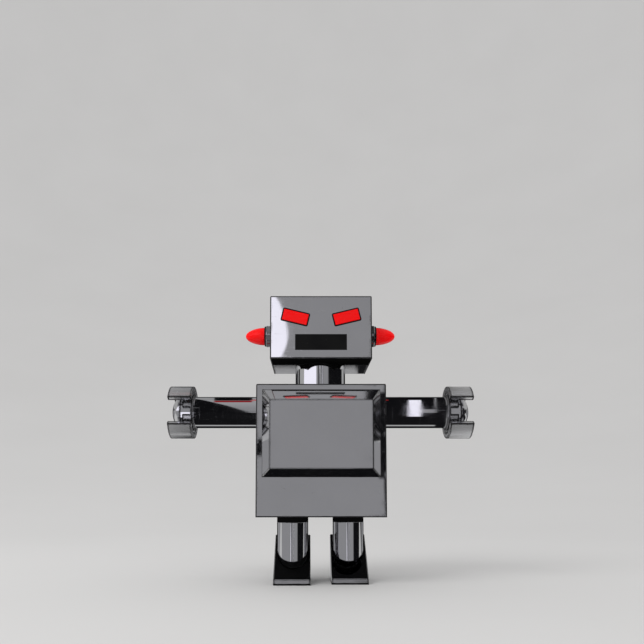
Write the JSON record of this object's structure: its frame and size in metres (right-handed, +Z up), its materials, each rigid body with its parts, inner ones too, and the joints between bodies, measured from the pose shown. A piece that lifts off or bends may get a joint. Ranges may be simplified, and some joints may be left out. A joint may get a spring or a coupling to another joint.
{
  "type": "tin wind-up robot",
  "caption": "Free-standing tin robot with box head and torso, tube arms with open claws, key-wound clockwork that walks its legs on a crank.",
  "frame": {"origin": "centre of the robot's footprint box, on the floor under the feet", "axes": "+X towards the robot's own left, along both arms; +Y backwards, towards the winding key; +Z up"},
  "size_m": [0.2208, 0.0992, 0.2018],
  "materials": {
    "polished_tin": "bright tinplate, lightly rubbed",
    "red_plastic": "glossy",
    "black_paint": "satin",
    "motor_steel": "mill finish",
    "spring_steel": "blued",
    "wheel_brass": "machined",
    "screw_steel": "bright"
  },
  "bodies": {
    "torso": {"torso_shell": "polished_tin", "torso_back_cover": "polished_tin", "torso_base_plate": "polished_tin", "chest_panel": "polished_tin", "neck_tube": "polished_tin", "neck_pivot": "motor_steel", "shoulder_bushes": "wheel_brass", "motor_front_plate": "motor_steel", "motor_rear_plate": "motor_steel", "motor_pillars": "motor_steel", "motor_standoffs": "motor_steel", "crank_bearings": "motor_steel", "guide_rod": "motor_steel", "mainspring": "spring_steel", "torso_screws": "screw_steel"},
    "head": {"head_shell": "polished_tin", "head_back_cover": "polished_tin", "head_base_plate": "polished_tin", "mouth_plate": "black_paint", "head_screws": "screw_steel", "head_washer": "spring_steel", "left_eye": "red_plastic", "right_eye": "red_plastic", "left_ear_base": "polished_tin", "right_ear_base": "polished_tin", "left_ear_bulb": "red_plastic", "right_ear_bulb": "red_plastic"},
    "crank": {"crankshaft": "motor_steel", "crank_pinion": "motor_steel"},
    "centre_wheelwork": {"centre_arbor": "motor_steel", "second_wheel": "wheel_brass", "crown_wheel": "wheel_brass"},
    "third_wheelwork": {"third_arbor": "motor_steel", "third_wheel": "wheel_brass"},
    "governor": {"governor_arbor": "motor_steel", "governor_fan": "motor_steel"},
    "great_wheelwork": {"great_wheel": "wheel_brass", "click": "motor_steel", "click_spring": "spring_steel"},
    "winder": {"winding_arbor": "motor_steel", "ratchet_wheel": "motor_steel", "winding_key": "polished_tin"},
    "stop_lever": {"stop_lever": "motor_steel"},
    "left_arm": {"left_arm_tube": "polished_tin", "left_shoulder_spindle": "motor_steel", "left_palm_cap": "polished_tin", "left_claw": "polished_tin"},
    "right_arm": {"right_arm_tube": "polished_tin", "right_shoulder_spindle": "motor_steel", "right_palm_cap": "polished_tin", "right_claw": "polished_tin"},
    "left_leg": {"left_leg_tube": "polished_tin", "left_leg_hanger": "motor_steel", "left_foot_shell": "polished_tin", "left_sole_plate": "polished_tin"},
    "right_leg": {"right_leg_tube": "polished_tin", "right_leg_hanger": "motor_steel", "right_foot_shell": "polished_tin", "right_sole_plate": "polished_tin"}
  },
  "joints": [
    {"name": "crank_turn", "type": "hinge", "parent": "torso", "child": "crank", "pos_m": [0, -0.00685, 0.0775], "axis": [1, 0, 0], "continuous": true},
    {"name": "left_leg_swing", "type": "hinge", "parent": "crank", "child": "left_leg", "pos_m": [0.0203, -0.00435, 0.0775], "axis": [1, 0, 0], "continuous": true},
    {"name": "right_leg_swing", "type": "hinge", "parent": "crank", "child": "right_leg", "pos_m": [-0.0203, -0.00935, 0.0775], "axis": [1, 0, 0], "continuous": true},
    {"name": "centre_arbor_turn", "type": "hinge", "parent": "torso", "child": "centre_wheelwork", "pos_m": [0, 0.00715, 0.0775], "axis": [0, 1, 0], "continuous": true},
    {"name": "third_arbor_turn", "type": "hinge", "parent": "torso", "child": "third_wheelwork", "pos_m": [0.01875, 0.01115, 0.0775], "axis": [0, 1, 0], "continuous": true},
    {"name": "governor_turn", "type": "hinge", "parent": "torso", "child": "governor", "pos_m": [0.02625, 0.01315, 0.09049], "axis": [0, 1, 0], "continuous": true},
    {"name": "great_wheel_turn", "type": "hinge", "parent": "torso", "child": "great_wheelwork", "pos_m": [0, 0.00715, 0.1], "axis": [0, 1, 0], "continuous": true},
    {"name": "key_wind", "type": "hinge", "parent": "great_wheelwork", "child": "winder", "pos_m": [0, 0.03315, 0.1], "axis": [0, 1, 0], "range_deg": [0, 1080], "deforming": ["mainspring"]},
    {"name": "stop_lever_swing", "type": "hinge", "parent": "torso", "child": "stop_lever", "pos_m": [0.0325, 0.02215, 0.072], "axis": [0, 1, 0], "range_deg": [0, 12]},
    {"name": "head_turn", "type": "hinge", "parent": "torso", "child": "head", "pos_m": [0, -0.00685, 0.158], "axis": [0, 0, 1], "continuous": true},
    {"name": "left_arm_turn", "type": "hinge", "parent": "torso", "child": "left_arm", "pos_m": [0.045, -0.00685, 0.1228], "axis": [1, 0, 0], "continuous": true},
    {"name": "right_arm_turn", "type": "hinge", "parent": "torso", "child": "right_arm", "pos_m": [-0.045, -0.00685, 0.1228], "axis": [-1, 0, 0], "continuous": true}
  ],
  "couplings": [
    {"joint": "left_leg_swing", "follows": "crank_turn", "ratio": -1},
    {"joint": "right_leg_swing", "follows": "crank_turn", "ratio": -1},
    {"joint": "centre_arbor_turn", "follows": "crank_turn", "ratio": -0.33333},
    {"joint": "great_wheel_turn", "follows": "crank_turn", "ratio": 0.083333},
    {"joint": "third_arbor_turn", "follows": "crank_turn", "ratio": 1.3333},
    {"joint": "governor_turn", "follows": "crank_turn", "ratio": -4}
  ]
}
